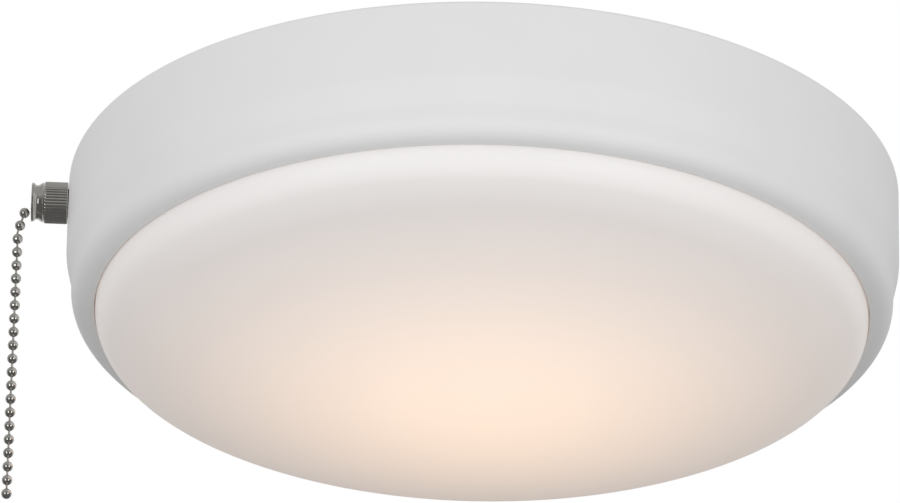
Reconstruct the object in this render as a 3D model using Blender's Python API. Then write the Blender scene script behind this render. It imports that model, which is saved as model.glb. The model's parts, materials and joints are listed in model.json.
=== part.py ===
"""Round ceiling light switched by a pull chain.

Sizes are in millimetres and MM turns them into metres. The origin is the centre of the ceiling
plane, +Z points up into the ceiling, and the switch stands out of the rim towards -X.
A turned outline is a closed list of (radius, height) points.
"""

import math

import bmesh
import bpy
from mathutils import Vector

MM = 0.001
GAP = 0.3  # kept between touching pieces
SHEET = 1.0  # steel sheet of the pan and the clips

# Pan
PAN_RADIUS = 127.0
PAN_DEPTH = 43.0
PAN_TAPER = 2.0  # how much narrower the wall is at its foot
PAN_TAPER_START = -25.0
PAN_FOOT_RADIUS = 6.0  # rounded lower corner
PAN_MOUTH_RADIUS = 118.2  # opening that the diffuser fills
PAN_HEM_TOP = -38.5
RECESS_RADIUS = 60.0
RECESS_DEPTH = 9.0
RECESS_SLOPE = 4.0
WIRE_HOLE_RADIUS = 11.0

# Mounting hardware
STRAP_SIZE = (114.0, 18.0, 1.5)
STRAP_TOP = -3.0
BOX_SCREW_X = 34.9
PAN_SCREW_X = 50.0
GROUND_SCREW_X = 18.0

# Light engine
TRAY_RADIUS = 110.0
TRAY_TOP = -23.5
TRAY_SHEET = 0.8
TRAY_RIM = 3.0
POST_CIRCLE = 37.0
POST_ANGLES = (90.0, 210.0, 330.0)
BOARD_RADIUS = 42.0
BOARD_THICKNESS = 1.2
LED_CIRCLE = 29.0
LED_COUNT = 8
LED_SIZE = (3.5, 3.5, 1.0)
WIRE_PASS = (-33.0, -33.0)  # hole in the tray for the two board leads

# Diffuser and its clips
LENS_RADIUS = 117.6
LENS_WALL = 2.2
LENS_TOP = -34.0
LENS_SHOULDER_RADIUS = 10.7
LENS_SHOULDER_HEIGHT = -42.6
LENS_CROWN_SLOPE = 16.3  # degrees, where the shoulder meets the shallow crown
LUG_DEPTH = 4.0
LUG_HALF_ANGLE = 4.0
LUG_BOTTOM = -36.2
CLIP_ANGLES = (0.0, 120.0, 240.0)
CLIP_WIDTH = 16.0
CLIP_RIVET_CIRCLE = 102.0

# Switch; distances along its axis are measured outwards from the lamp's centre
SWITCH_Z = -7.5
BODY_REAR = 94.5
BODY_FRONT = 122.5
BODY_WIDTH = 20.0
BODY_TOP = -1.5
BODY_BOTTOM = -17.5
BODY_WALL = 1.5
BODY_REAR_WALL = 4.0
COVER_THICKNESS = 1.0
THREAD_RADIUS = 4.76
THREAD_PITCH = 1.8  # drawn coarse
BORE_RADIUS = 3.1
SPIGOT_RADIUS = 4.0  # carries the bell mouth
SPIGOT_FRONT = 136.0
NUT_BORE = THREAD_RADIUS + GAP
HEX_NUT = (124.1, 125.5, 5.5)  # rear, front, half the width across flats
TAIL_RADIUS = 4.2  # bushing inside the case
TAIL_END = 120.0
FLANGE = (122.8, 123.8, 5.8)  # rear, front, radius
BARREL_REAR = 127.5
BARREL_FRONT = 134.5
BARREL_RADIUS = 6.4
KNURL_COUNT = 44
KNURL_DEPTH = 0.28
MOUTH_FRONT = 138.3
LIP_RADIUS = 5.85
WAIST_RADIUS = 5.35
PLUNGER_HEAD = (103.5, 105.0, 4.0)  # rear, front, radius
PLUNGER_STEM_RADIUS = 2.0
SPRING_RADIUS = 3.3
SPRING_WIRE = 0.35
SPRING_TURNS = 5
ROTOR_X = 109.0
ROTOR_Z = SWITCH_Z - 6.5  # underside of the wheel
ROTOR_THICKNESS = 1.4
ROTOR_RADIUS = 6.5
ROTOR_TEETH = 8
RIVET_X = 96.5
RIVET_Y = 6.8
SWITCH_LEAD_Y = 4.0  # the two leads leave the case this far to each side
SWITCH_LEAD_Z = SWITCH_Z - 1.5

# Bead chain
BEAD_RADIUS = 1.6
BEAD_PITCH = 4.5
NECK_RADIUS = 0.55
FEED_NECK_GAP = 0.7  # the feed beads close up a little as they run round the lip
CHAIN_X = 142.0
INNER_BEADS = 3
INNER_CHAIN_END = 127.6
BEAD_B = (132.1, -0.3)  # distance out, height above the switch axis
BEAD_A = (136.5, -1.3)
LEAD_BEAD = (140.25, -3.8)
LEAD_BEAD_2 = (141.45, -8.2)
HANG_TOP = -20.2
HANG_COUNTS = (("chain_upper", 7), ("chain_middle", 7), ("chain_lower", 6))

# Wiring
LEAD_RADIUS = 1.1
BLOCK_CENTRE = (-70.0, 0.0)
BLOCK_SIZE = (22.0, 16.0, 9.0)

COLOURS = {
    "white_paint": ((0.80, 0.80, 0.80), 0.45, 0.0),
    "opal_acrylic": ((0.90, 0.88, 0.84), 0.35, 0.0),
    "zinc_steel": ((0.62, 0.63, 0.62), 0.38, 1.0),
    "nickel": ((0.60, 0.58, 0.54), 0.18, 1.0),
    "spring_steel": ((0.45, 0.46, 0.47), 0.30, 1.0),
    "brass": ((0.78, 0.57, 0.24), 0.28, 1.0),
    "green_paint": ((0.05, 0.35, 0.12), 0.40, 0.0),
    "black_rubber": ((0.03, 0.03, 0.03), 0.70, 0.0),
    "phenolic": ((0.05, 0.04, 0.035), 0.45, 0.0),
    "nylon": ((0.82, 0.80, 0.74), 0.45, 0.0),
    "board_white": ((0.86, 0.86, 0.84), 0.35, 0.0),
    "phosphor": ((0.90, 0.72, 0.22), 0.40, 0.0),
    "chip_black": ((0.02, 0.02, 0.022), 0.40, 0.0),
    "varistor_blue": ((0.05, 0.14, 0.45), 0.40, 0.0),
    "wire_black": ((0.02, 0.02, 0.02), 0.45, 0.0),
    "wire_white": ((0.80, 0.80, 0.78), 0.45, 0.0),
}


def clear_scene():
    for old in list(bpy.data.objects):
        bpy.data.objects.remove(old, do_unlink=True)


def make_materials():
    made = {}
    for name, (colour, roughness, metallic) in COLOURS.items():
        material = bpy.data.materials.new(name)
        material.use_nodes = True
        shader = material.node_tree.nodes["Principled BSDF"]
        shader.inputs["Base Color"].default_value = (*colour, 1.0)
        shader.inputs["Roughness"].default_value = roughness
        shader.inputs["Metallic"].default_value = metallic
        made[name] = material
    return made


def add_object(name, mesh, material, place=(0.0, 0.0, 0.0), turn=(0.0, 0.0, 0.0)):
    """Puts a mesh in the scene; place is in millimetres and turn in degrees."""
    node = bpy.data.objects.new(name, mesh)
    bpy.context.scene.collection.objects.link(node)
    node.location = [MM * value for value in place]
    node.rotation_euler = [math.radians(value) for value in turn]
    if material:
        node.data.materials.append(material)
    return node


def finish_mesh(name, shape, smooth_angle=35.0):
    bmesh.ops.recalc_face_normals(shape, faces=shape.faces[:])
    mesh = bpy.data.meshes.new(name)
    shape.to_mesh(mesh)
    shape.free()
    mesh.shade_smooth()
    mesh.set_sharp_from_angle(angle=math.radians(smooth_angle))
    return mesh


def join_rings(shape, rings):
    """Faces between neighbouring rings of a closed list; a ring of one vertex is a pole."""
    for index, ring in enumerate(rings):
        after = rings[(index + 1) % len(rings)]
        count = max(len(ring), len(after))
        if count == 1:
            continue
        for step in range(count):
            corners = []
            for loop, offset in ((ring, 0), (ring, 1), (after, 1), (after, 0)):
                vertex = loop[(step + offset) % len(loop)]
                if vertex not in corners:
                    corners.append(vertex)
            shape.faces.new(corners)


def turned_mesh(name, outline, steps):
    shape = bmesh.new()
    rings = []
    for radius, height in outline:
        if radius < 1e-6:
            rings.append([shape.verts.new((0.0, 0.0, MM * height))])
            continue
        ring = []
        for step in range(steps):
            angle = 2 * math.pi * step / steps
            spot = (radius * math.cos(angle), radius * math.sin(angle), height)
            ring.append(shape.verts.new(MM * Vector(spot)))
        rings.append(ring)
    join_rings(shape, rings)
    return finish_mesh(name, shape)


def turned(name, outline, material, steps=24, place=(0, 0, 0), turn=(0, 0, 0)):
    return add_object(name, turned_mesh(name, outline, steps), material, place, turn)


def on_switch_axis(name, outline, material, steps=24):
    """A turned piece whose outline heights are distances out along the switch's axis."""
    return turned(name, outline, material, steps, (0, 0, SWITCH_Z), (0, -90, 0))


def arc(centre, radius, start, end, count):
    """Points on an arc in the outline's plane; angles in degrees, 0 is outwards, 90 is up."""
    points = []
    for step in range(count + 1):
        angle = math.radians(start + (end - start) * step / count)
        points.append((centre[0] + radius * math.cos(angle), centre[1] + radius * math.sin(angle)))
    return points


def block(name, low, high, material, bevel=0.0):
    """A box between two corners, with its origin at its centre."""
    centre = [(a + b) / 2 for a, b in zip(low, high)]
    half = [(b - a) / 2 for a, b in zip(low, high)]
    shape = bmesh.new()
    bmesh.ops.create_cube(shape, size=2.0)
    for vertex in shape.verts:
        vertex.co = [MM * size * value for size, value in zip(half, vertex.co)]
    node = add_object(name, finish_mesh(name, shape), material, centre)
    if bevel:
        edge = node.modifiers.new("edges", "BEVEL")
        edge.width = MM * bevel
        edge.segments = 2
        edge.limit_method = "ANGLE"
    return node


def prism(name, outline, low, high, material, place=(0, 0, 0), turn=(0, 0, 0)):
    """An outline in the local XY plane, extruded from height low to height high."""
    shape = bmesh.new()
    bottom = [shape.verts.new((MM * x, MM * y, MM * low)) for x, y in outline]
    top = [shape.verts.new((MM * x, MM * y, MM * high)) for x, y in outline]
    shape.faces.new(bottom)
    shape.faces.new(top)
    for index in range(len(outline)):
        after = (index + 1) % len(outline)
        shape.faces.new((bottom[index], bottom[after], top[after], top[index]))
    return add_object(name, finish_mesh(name, shape), material, place, turn)


def helper(node):
    node.hide_render = True
    node.display_type = "WIRE"
    return node


def cutter_of(name, pieces):
    """One hidden cutter from several closed shapes that don't touch."""
    shape = bmesh.new()
    for piece in pieces:
        bpy.context.view_layer.update()
        before = len(shape.verts)
        shape.from_mesh(piece.data)
        shape.verts.ensure_lookup_table()
        for vertex in shape.verts[before:]:
            vertex.co = piece.matrix_world @ vertex.co
        bpy.data.objects.remove(piece, do_unlink=True)
    return helper(add_object(name, finish_mesh(name, shape), None))


def combine(node, other, operation):
    step = node.modifiers.new(other.name, "BOOLEAN")
    step.operation = operation
    step.solver = "EXACT"
    step.object = other


def column(radius, low, high):
    """The outline of a plain round rod between two heights."""
    return [(0, low), (radius, low), (radius, high), (0, high)]


def drill(radius, x, y, low, high, steps=16):
    return turned("drill", column(radius, low, high), None, steps, (x, y, 0))


def around(radius, angle):
    return radius * math.cos(math.radians(angle)), radius * math.sin(math.radians(angle))


def screw_outline(head_radius, shank_radius, head_low, seat, tip):
    """A round-headed screw that points up, with its head from head_low to seat."""
    return [
        (0, head_low),
        (0.55 * head_radius, head_low),
        (0.9 * head_radius, head_low + 0.35 * (seat - head_low)),
        (head_radius, head_low + 0.7 * (seat - head_low)),
        (head_radius, seat),
        (shank_radius, seat),
        (shank_radius, tip - 0.8),
        (0.6 * shank_radius, tip),
        (0, tip),
    ]


def smooth_route(points, spacing):
    """Points about a spacing apart on a Catmull-Rom curve through the given ones."""
    spots = [Vector(point) for point in points]
    spots = [2 * spots[0] - spots[1], *spots, 2 * spots[-1] - spots[-2]]
    route = []
    for index in range(1, len(spots) - 2):
        a, b, c, d = spots[index - 1 : index + 3]
        steps = max(1, round((c - b).length / spacing))
        for step in range(steps):
            t = step / steps
            route.append(
                0.5 * (2 * b + (c - a) * t + (2 * a - 5 * b + 4 * c - d) * t**2
                       + (3 * b - 3 * c + d - a) * t**3)
            )
    route.append(spots[-2])
    return route


def tube(name, route, radius, material, sides=2):
    curve = bpy.data.curves.new(name, "CURVE")
    curve.dimensions = "3D"
    curve.bevel_depth = MM * radius
    curve.bevel_resolution = sides
    curve.use_fill_caps = True
    spline = curve.splines.new("POLY")
    spline.points.add(len(route) - 1)
    for point, spot in zip(spline.points, route):
        point.co = (*(MM * Vector(spot)), 1.0)
    return add_object(name, curve, material)


def make_pan(paint):
    foot = (PAN_RADIUS - PAN_TAPER - PAN_FOOT_RADIUS, -PAN_DEPTH + PAN_FOOT_RADIUS)
    top_corner = (PAN_RADIUS - 1.2, -1.2)
    outer = [
        (WIRE_HOLE_RADIUS, -RECESS_DEPTH),
        (RECESS_RADIUS, -RECESS_DEPTH),
        (RECESS_RADIUS + RECESS_SLOPE, 0.0),
        *arc(top_corner, 1.2, 90, 0, 2),
        (PAN_RADIUS, PAN_TAPER_START),
        (PAN_RADIUS - 0.3 * PAN_TAPER, PAN_TAPER_START - 6.0),
        *arc(foot, PAN_FOOT_RADIUS, 0, -90, 5),
        (PAN_MOUTH_RADIUS, -PAN_DEPTH),
    ]
    inner = [
        (PAN_MOUTH_RADIUS, PAN_HEM_TOP),
        (PAN_MOUTH_RADIUS + SHEET, PAN_HEM_TOP),
        (PAN_MOUTH_RADIUS + SHEET, -PAN_DEPTH + SHEET),
        *arc(foot, PAN_FOOT_RADIUS - SHEET, -80, 0, 3),
        (PAN_RADIUS - SHEET, PAN_TAPER_START),
        (PAN_RADIUS - SHEET, -SHEET),
        (RECESS_RADIUS + RECESS_SLOPE + 0.6, -SHEET),
        (RECESS_RADIUS + 0.6, -RECESS_DEPTH - SHEET),
        (WIRE_HOLE_RADIUS, -RECESS_DEPTH - SHEET),
    ]
    pan = turned("pan", outer + inner, paint, 60)
    holes = [drill(2.6, side * PAN_SCREW_X, 0, -14, -5) for side in (-1, 1)]
    holes += [drill(2.5, *around(POST_CIRCLE, angle), -14, -5) for angle in POST_ANGLES]
    side_hole = column(THREAD_RADIUS + 0.45, PAN_RADIUS - 7, PAN_RADIUS + 5)
    holes.append(on_switch_axis("side_hole", side_hole, None))
    combine(pan, cutter_of("pan_holes", holes), "DIFFERENCE")
    return pan


def make_mounting(zinc, green, rubber):
    long, wide, thick = STRAP_SIZE
    low = (-long / 2, -wide / 2, STRAP_TOP - thick)
    strap = block("mounting_strap", low, (long / 2, wide / 2, STRAP_TOP), zinc)
    depth = (STRAP_TOP - thick - 2, STRAP_TOP + 2)
    holes = [drill(6.5, 0, 0, *depth, 24), drill(2.0, GROUND_SCREW_X, 0, *depth)]
    for side in (-1, 1):
        x = side * BOX_SCREW_X
        slot = arc((x + 5, 0), 2.5, -90, 90, 6) + arc((x - 5, 0), 2.5, 90, 270, 6)
        holes.append(prism("slot", slot, *depth, None))
        holes.append(drill(2.4, side * PAN_SCREW_X, 0, *depth))
    combine(strap, cutter_of("strap_holes", holes), "DIFFERENCE")
    strap_bottom = STRAP_TOP - thick
    box_screw = screw_outline(4.0, 2.0, strap_bottom - GAP - 2.3, strap_bottom - GAP, 9.0)
    floor = -RECESS_DEPTH - SHEET
    pan_screw = screw_outline(4.2, 2.1, floor - GAP - 2.6, floor - GAP, -1.0)
    for side, word in ((-1, "left"), (1, "right")):
        turned(f"box_screw_{word}", box_screw, zinc, 12, (side * BOX_SCREW_X, 0, 0))
        turned(f"pan_screw_{word}", pan_screw, zinc, 12, (side * PAN_SCREW_X, 0, 0))
    ground = screw_outline(3.6, 1.7, strap_bottom - GAP - 2.2, strap_bottom - GAP, -1.0)
    turned("ground_screw", ground, green, 12, (GROUND_SCREW_X, 0, 0))
    groove = WIRE_HOLE_RADIUS - GAP
    grommet = [
        (7.0, floor - 2.2),
        (12.4, floor - 2.2),
        (13.2, floor - 1.6),
        (13.2, floor - GAP),
        (groove, floor - GAP),
        (groove, -RECESS_DEPTH + GAP),
        (13.2, -RECESS_DEPTH + GAP),
        (13.2, -RECESS_DEPTH + 1.6),
        (12.4, -RECESS_DEPTH + 2.2),
        (7.0, -RECESS_DEPTH + 2.2),
    ]
    turned("wire_grommet", grommet, rubber, 20)


def make_light_engine(look):
    tray_bottom = TRAY_TOP - TRAY_SHEET
    tray_outline = [
        (0, tray_bottom),
        (TRAY_RADIUS, tray_bottom),
        (TRAY_RADIUS, TRAY_TOP + TRAY_RIM),
        (TRAY_RADIUS - TRAY_SHEET, TRAY_TOP + TRAY_RIM),
        (TRAY_RADIUS - TRAY_SHEET, TRAY_TOP),
        (0, TRAY_TOP),
    ]
    tray = turned("led_tray", tray_outline, look["white_paint"], 48)
    depth = (TRAY_TOP - 4, TRAY_TOP + 4)
    holes = [drill(5.5, side * PAN_SCREW_X, 0, *depth) for side in (-1, 1)]
    holes += [drill(2.0, *around(POST_CIRCLE, angle), *depth) for angle in POST_ANGLES]
    holes += [drill(1.8, *around(CLIP_RIVET_CIRCLE, angle), *depth) for angle in CLIP_ANGLES]
    holes.append(drill(4.8, *WIRE_PASS, *depth))
    combine(tray, cutter_of("tray_holes", holes), "DIFFERENCE")

    board_top = tray_bottom - GAP
    board_bottom = board_top - BOARD_THICKNESS
    board_outline = column(BOARD_RADIUS, board_bottom, board_top)
    board = turned("led_board", board_outline, look["board_white"], 36)
    holes = [drill(2.0, *around(POST_CIRCLE, angle), *depth) for angle in POST_ANGLES]
    combine(board, cutter_of("board_holes", holes), "DIFFERENCE")

    floor = -RECESS_DEPTH - SHEET
    post = [
        (3.5, TRAY_TOP + GAP),
        (3.5, floor - GAP),
        (2.2, floor - GAP),
        (2.2, floor + 1.6),
        (0, floor + 1.6),
        (0, floor - 2.0),
        (1.8, floor - 2.0),
        (1.8, TRAY_TOP + GAP),
    ]
    seat = board_bottom - GAP
    screw = screw_outline(3.0, 1.5, seat - 1.9, seat, TRAY_TOP + 8)
    for number, angle in enumerate(POST_ANGLES, 1):
        place = (*around(POST_CIRCLE, angle), 0)
        turned(f"tray_post_{number}", post, look["zinc_steel"], 12, place)
        turned(f"board_screw_{number}", screw, look["zinc_steel"], 12, place)

    half = [value / 2 for value in LED_SIZE]
    for number in range(LED_COUNT):
        x, y = around(LED_CIRCLE, (number + 0.5) * 360 / LED_COUNT)
        low = (x - half[0], y - half[1], seat - LED_SIZE[2])
        block(f"led_{number + 1}", low, (x + half[0], y + half[1], seat), look["phosphor"])

    block("driver_chip", (-13, 3, seat - 1.6), (-4, 9, seat), look["chip_black"])
    block("bridge_rectifier", (5, 4, seat - 2.0), (11, 9, seat), look["chip_black"])
    disc = [(0, seat - 3.2), (3.0, seat - 3.2), (3.8, seat - 2.6), (3.8, seat), (0, seat)]
    turned("surge_varistor", disc, look["varistor_blue"], 16, (2, -10, 0))


def make_diffuser(acrylic):
    centre = (LENS_RADIUS - LENS_SHOULDER_RADIUS, LENS_SHOULDER_HEIGHT)
    turn_end = LENS_CROWN_SLOPE - 90
    slope = math.radians(LENS_CROWN_SLOPE)
    edge = centre[0] + LENS_SHOULDER_RADIUS * math.sin(slope)
    crown = edge / math.sin(slope)
    drop = centre[1] - LENS_SHOULDER_RADIUS * math.cos(slope) + crown * math.cos(slope)
    outer = [(LENS_RADIUS, LENS_TOP)]
    outer += arc(centre, LENS_SHOULDER_RADIUS, 0, turn_end, 6)
    outer += arc((0, drop), crown, turn_end, -90, 4)[1:]
    inner = arc((0, drop), crown - LENS_WALL, -90, turn_end, 3)
    inner += arc(centre, LENS_SHOULDER_RADIUS - LENS_WALL, turn_end, 0, 4)[1:]
    inner += [(LENS_RADIUS - LENS_WALL, LENS_TOP)]
    lens = turned("diffuser", outer + inner, acrylic, 60)
    lugs = []
    root = LENS_RADIUS - 0.5 * LENS_WALL
    tip = LENS_RADIUS - LENS_WALL - LUG_DEPTH
    for angle in CLIP_ANGLES:
        span = (angle - LUG_HALF_ANGLE, angle + LUG_HALF_ANGLE)
        outline = arc((0, 0), root, span[0], span[1], 4) + arc((0, 0), tip, span[1], span[0], 4)
        lugs.append(prism("lug", outline, LUG_BOTTOM, LENS_TOP - 0.4, None))
    combine(lens, cutter_of("lens_lugs", lugs), "UNION")


def make_clips(look):
    """Three spring-steel brackets under the tray, whose shelves carry the diffuser's lugs."""
    foot = TRAY_TOP - TRAY_SHEET - GAP
    leg = LENS_RADIUS - LENS_WALL - LUG_DEPTH - 0.8
    shelf = LUG_BOTTOM - GAP
    outline = [
        (98.0, foot),
        (leg, foot),
        (leg, shelf),
        (leg + 4.0, shelf),
        (leg + 4.0, shelf - SHEET),
        (leg - SHEET, shelf - SHEET),
        (leg - SHEET, foot - SHEET),
        (98.0, foot - SHEET),
    ]
    seat = foot - SHEET - GAP
    upper = TRAY_TOP + GAP
    rivet = [
        (0, seat - 1.3),
        (2.1, seat - 1.3),
        (3.0, seat - 0.6),
        (3.0, seat),
        (1.5, seat),
        (1.5, upper),
        (2.6, upper),
        (2.6, upper + 0.9),
        (0, upper + 0.9),
    ]
    half = CLIP_WIDTH / 2
    steel = look["spring_steel"]
    for number, angle in enumerate(CLIP_ANGLES, 1):
        spot = around(CLIP_RIVET_CIRCLE, angle)
        clip = prism(f"lens_clip_{number}", outline, -half, half, steel, turn=(90, 0, angle))
        hole = drill(1.8, *spot, foot - 4, foot + 4)
        combine(clip, cutter_of(f"clip_hole_{number}", [hole]), "DIFFERENCE")
        turned(f"clip_rivet_{number}", rivet, look["zinc_steel"], 12, (*spot, 0))


def knurled_barrel(name, material):
    """A nut with straight knurls, their front ends scalloped by the chamfer."""
    rear, front, radius = BARREL_REAR, BARREL_FRONT, BARREL_RADIUS
    valley = radius - KNURL_DEPTH
    rows = [
        (NUT_BORE, NUT_BORE, rear),
        (radius - 0.5, radius - 0.5, rear),
        (radius, valley, rear + 0.4),
        (radius, valley, front - 0.7),
        (radius - 0.35, valley - 0.1, front - 0.2),
        (radius - 0.75, radius - 0.75, front),
        (NUT_BORE, NUT_BORE, front),
    ]
    shape = bmesh.new()
    rings = []
    for peak, dip, height in rows:
        ring = []
        for step in range(2 * KNURL_COUNT):
            angle = math.pi * step / KNURL_COUNT
            reach = peak if step % 2 == 0 else dip
            spot = (reach * math.cos(angle), reach * math.sin(angle), height)
            ring.append(shape.verts.new(MM * Vector(spot)))
        rings.append(ring)
    join_rings(shape, rings)
    mesh = finish_mesh(name, shape, 20.0)
    return add_object(name, mesh, material, (0, 0, SWITCH_Z), (0, -90, 0))


def make_switch_case(look):
    low = (-BODY_FRONT, -BODY_WIDTH / 2, BODY_BOTTOM)
    body = block("switch_body", low, (-BODY_REAR, BODY_WIDTH / 2, BODY_TOP), look["phenolic"])
    inner_low = (-BODY_FRONT + BODY_WALL, -BODY_WIDTH / 2 + BODY_WALL, BODY_BOTTOM - 2)
    inner_high = (-BODY_REAR - BODY_REAR_WALL, BODY_WIDTH / 2 - BODY_WALL, BODY_TOP - BODY_WALL)
    room = cutter_of("switch_room", [block("room", inner_low, inner_high, None)])
    combine(body, room, "DIFFERENCE")
    front_hole = column(TAIL_RADIUS + GAP, BODY_FRONT - 4, BODY_FRONT + 2)
    holes = [on_switch_axis("front_hole", front_hole, None)]
    exit_hole = column(LEAD_RADIUS + GAP, BODY_REAR - 2, BODY_REAR + BODY_REAR_WALL + 2)
    for side in (-1, 1):
        holes.append(drill(1.3, -RIVET_X, side * RIVET_Y, BODY_BOTTOM - 2, BODY_BOTTOM + 5, 12))
        place = (0, side * SWITCH_LEAD_Y, SWITCH_LEAD_Z)
        holes.append(turned("exit", exit_hole, None, 12, place, (0, -90, 0)))
    combine(body, cutter_of("switch_holes", holes), "DIFFERENCE")

    cover_top = BODY_BOTTOM - GAP
    cover_low = (-BODY_FRONT, -BODY_WIDTH / 2, cover_top - COVER_THICKNESS)
    cover_high = (-BODY_REAR, BODY_WIDTH / 2, cover_top)
    cover = block("switch_cover", cover_low, cover_high, look["phenolic"])
    depth = (cover_top - 3, cover_top + 3)
    holes = [drill(1.3, -RIVET_X, side * RIVET_Y, *depth, 12) for side in (-1, 1)]
    combine(cover, cutter_of("cover_holes", holes), "DIFFERENCE")
    seat = cover_top - COVER_THICKNESS - GAP
    tip = BODY_BOTTOM + 4
    rivet = [(0, seat - 0.6), (1.6, seat - 0.6), (2.0, seat), (1.0, seat), (1.0, tip), (0, tip)]
    for number, side in enumerate((-1, 1), 1):
        turned(f"switch_rivet_{number}", rivet, look["brass"], 10, (-RIVET_X, side * RIVET_Y, 0))


def make_switch_front(look):
    flange_rear, flange_front, flange_radius = FLANGE
    thread = []
    reach = flange_front + 0.2
    while reach < BARREL_FRONT - 1.2:
        thread += [(THREAD_RADIUS, reach), (THREAD_RADIUS - 0.5, reach + 0.9)]
        reach += THREAD_PITCH
    bushing = [
        (BORE_RADIUS, TAIL_END),
        (TAIL_RADIUS, TAIL_END),
        (TAIL_RADIUS, flange_rear),
        (flange_radius, flange_rear),
        (flange_radius, flange_front),
        (THREAD_RADIUS, flange_front),
        *thread,
        (THREAD_RADIUS, reach),
        (THREAD_RADIUS, BARREL_FRONT),
        (SPIGOT_RADIUS, BARREL_FRONT),
        (SPIGOT_RADIUS, SPIGOT_FRONT),
        (SPIGOT_RADIUS - 0.5, SPIGOT_FRONT),
        (BORE_RADIUS, SPIGOT_FRONT - 2.0),
    ]
    on_switch_axis("threaded_bushing", bushing, look["nickel"], 18)
    rear, front, flat = HEX_NUT
    corner = flat / math.cos(math.radians(30))
    hexagon = [around(corner, 60 * step) for step in range(6)]
    axis = (0, 0, SWITCH_Z)
    nut = prism("inner_hex_nut", hexagon, rear, front, look["zinc_steel"], axis, (90, 0, -90))
    bore = on_switch_axis("bore", column(NUT_BORE, rear - 1, front + 1), None)
    combine(nut, cutter_of("nut_bore", [bore]), "DIFFERENCE")
    knurled_barrel("knurled_nut", look["nickel"])
    mouth = [
        (4.3, BARREL_FRONT + GAP),
        (BARREL_RADIUS - 0.35, BARREL_FRONT + GAP),
        (5.75, BARREL_FRONT + 1.0),
        (5.5, BARREL_FRONT + 1.5),
        (WAIST_RADIUS, BARREL_FRONT + 2.1),
        (5.42, BARREL_FRONT + 2.7),
        (5.6, BARREL_FRONT + 3.2),
        (LIP_RADIUS, MOUTH_FRONT - 0.25),
        (LIP_RADIUS - 0.1, MOUTH_FRONT),
        (LIP_RADIUS - 0.35, MOUTH_FRONT - 0.05),
        (4.7, MOUTH_FRONT - 0.6),
        (4.0, MOUTH_FRONT - 1.2),
        (3.7, MOUTH_FRONT - 1.9),
        (4.3, MOUTH_FRONT - 1.9),
    ]
    on_switch_axis("bell_mouth", mouth, look["nickel"], 24)


def make_switch_works(look):
    rear, front, radius = PLUNGER_HEAD
    tip = INNER_CHAIN_END - (INNER_BEADS - 1) * BEAD_PITCH - BEAD_RADIUS - GAP
    plunger = [
        (0, rear),
        (radius, rear),
        (radius, front),
        (PLUNGER_STEM_RADIUS, front),
        (PLUNGER_STEM_RADIUS, tip),
        (0.9, tip),
        (0.9, tip - 3.0),
        (0, tip - 3.0),
    ]
    on_switch_axis("plunger", plunger, look["nylon"], 16)
    start = front + SPRING_WIRE + GAP
    end = TAIL_END - SPRING_WIRE - GAP
    coil = []
    for step in range(SPRING_TURNS * 10 + 1):
        angle = 2 * math.pi * step / 10
        reach = start + (end - start) * step / (SPRING_TURNS * 10)
        sideways = SPRING_RADIUS * math.cos(angle)
        coil.append((-reach, sideways, SWITCH_Z + SPRING_RADIUS * math.sin(angle)))
    tube("return_spring", coil, SPRING_WIRE, look["spring_steel"], 1)

    teeth = []
    for tooth in range(ROTOR_TEETH):
        angle = tooth * 360 / ROTOR_TEETH
        teeth.append(around(ROTOR_RADIUS, angle))
        teeth.append(around(ROTOR_RADIUS - 0.7, angle + 0.55 * 360 / ROTOR_TEETH))
        teeth.append(around(ROTOR_RADIUS - 1.6, angle + 0.97 * 360 / ROTOR_TEETH))
    place = (-ROTOR_X, 0, ROTOR_Z)
    wheel = prism("ratchet_rotor", teeth, 0, ROTOR_THICKNESS, look["nylon"], place)
    hub = helper(turned("hub", column(2.0, -2.9, 0.2), None, 12, place))
    combine(wheel, hub, "UNION")
    bridge_top = ROTOR_Z - GAP - 0.4
    low = (-ROTOR_X - 2.4, -ROTOR_RADIUS, bridge_top - 0.6)
    bridge = block("contact_bridge", low, (-ROTOR_X + 2.4, ROTOR_RADIUS, bridge_top), look["brass"])
    hole = drill(2.3, -ROTOR_X, 0, bridge_top - 3, bridge_top + 3, 12)
    combine(bridge, cutter_of("bridge_hole", [hole]), "DIFFERENCE")
    for side, word in ((-1, "a"), (1, "b")):
        near, far = sorted((side * (ROTOR_RADIUS + 0.4), side * (ROTOR_RADIUS + 1.1)))
        low = (-ROTOR_X - 7, near, bridge_top - 1.6)
        block(f"fixed_contact_{word}", low, (-ROTOR_X + 10, far, bridge_top + 1.2), look["brass"])


def bead_string(name, count, material, place, direction, tail_gap=GAP, head=0.0):
    """Beads on thin necks from place along direction; the origin is the first bead's centre.

    The last neck ends tail_gap before the next string's bead, and 0 leaves it out.
    """
    neck_angle = math.degrees(math.asin(NECK_RADIUS / BEAD_RADIUS))
    outline = [(0, -BEAD_RADIUS)]
    if head:
        outline = [(0, -BEAD_RADIUS - head), (NECK_RADIUS, -BEAD_RADIUS - head)]
    for bead in range(count):
        centre = (0, bead * BEAD_PITCH)
        first = bead == 0 and not head
        last = bead == count - 1 and not tail_gap
        start = -65 if first else -90 + neck_angle
        end = 65 if last else 90 - neck_angle
        outline += arc(centre, BEAD_RADIUS, start, end, 4)
    top = (count - 1) * BEAD_PITCH + BEAD_RADIUS
    if tail_gap:
        reach = count * BEAD_PITCH - BEAD_RADIUS - tail_gap
        outline += [(NECK_RADIUS, reach), (0, reach)]
    else:
        outline.append((0, top))
    node = turned(name, outline, material, 10, place)
    node.rotation_mode = "QUATERNION"
    node.rotation_quaternion = Vector((0, 0, 1)).rotation_difference(Vector(direction).normalized())
    return node


def on_chain(spot):
    return Vector((-spot[0], 0, SWITCH_Z + spot[1]))


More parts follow.
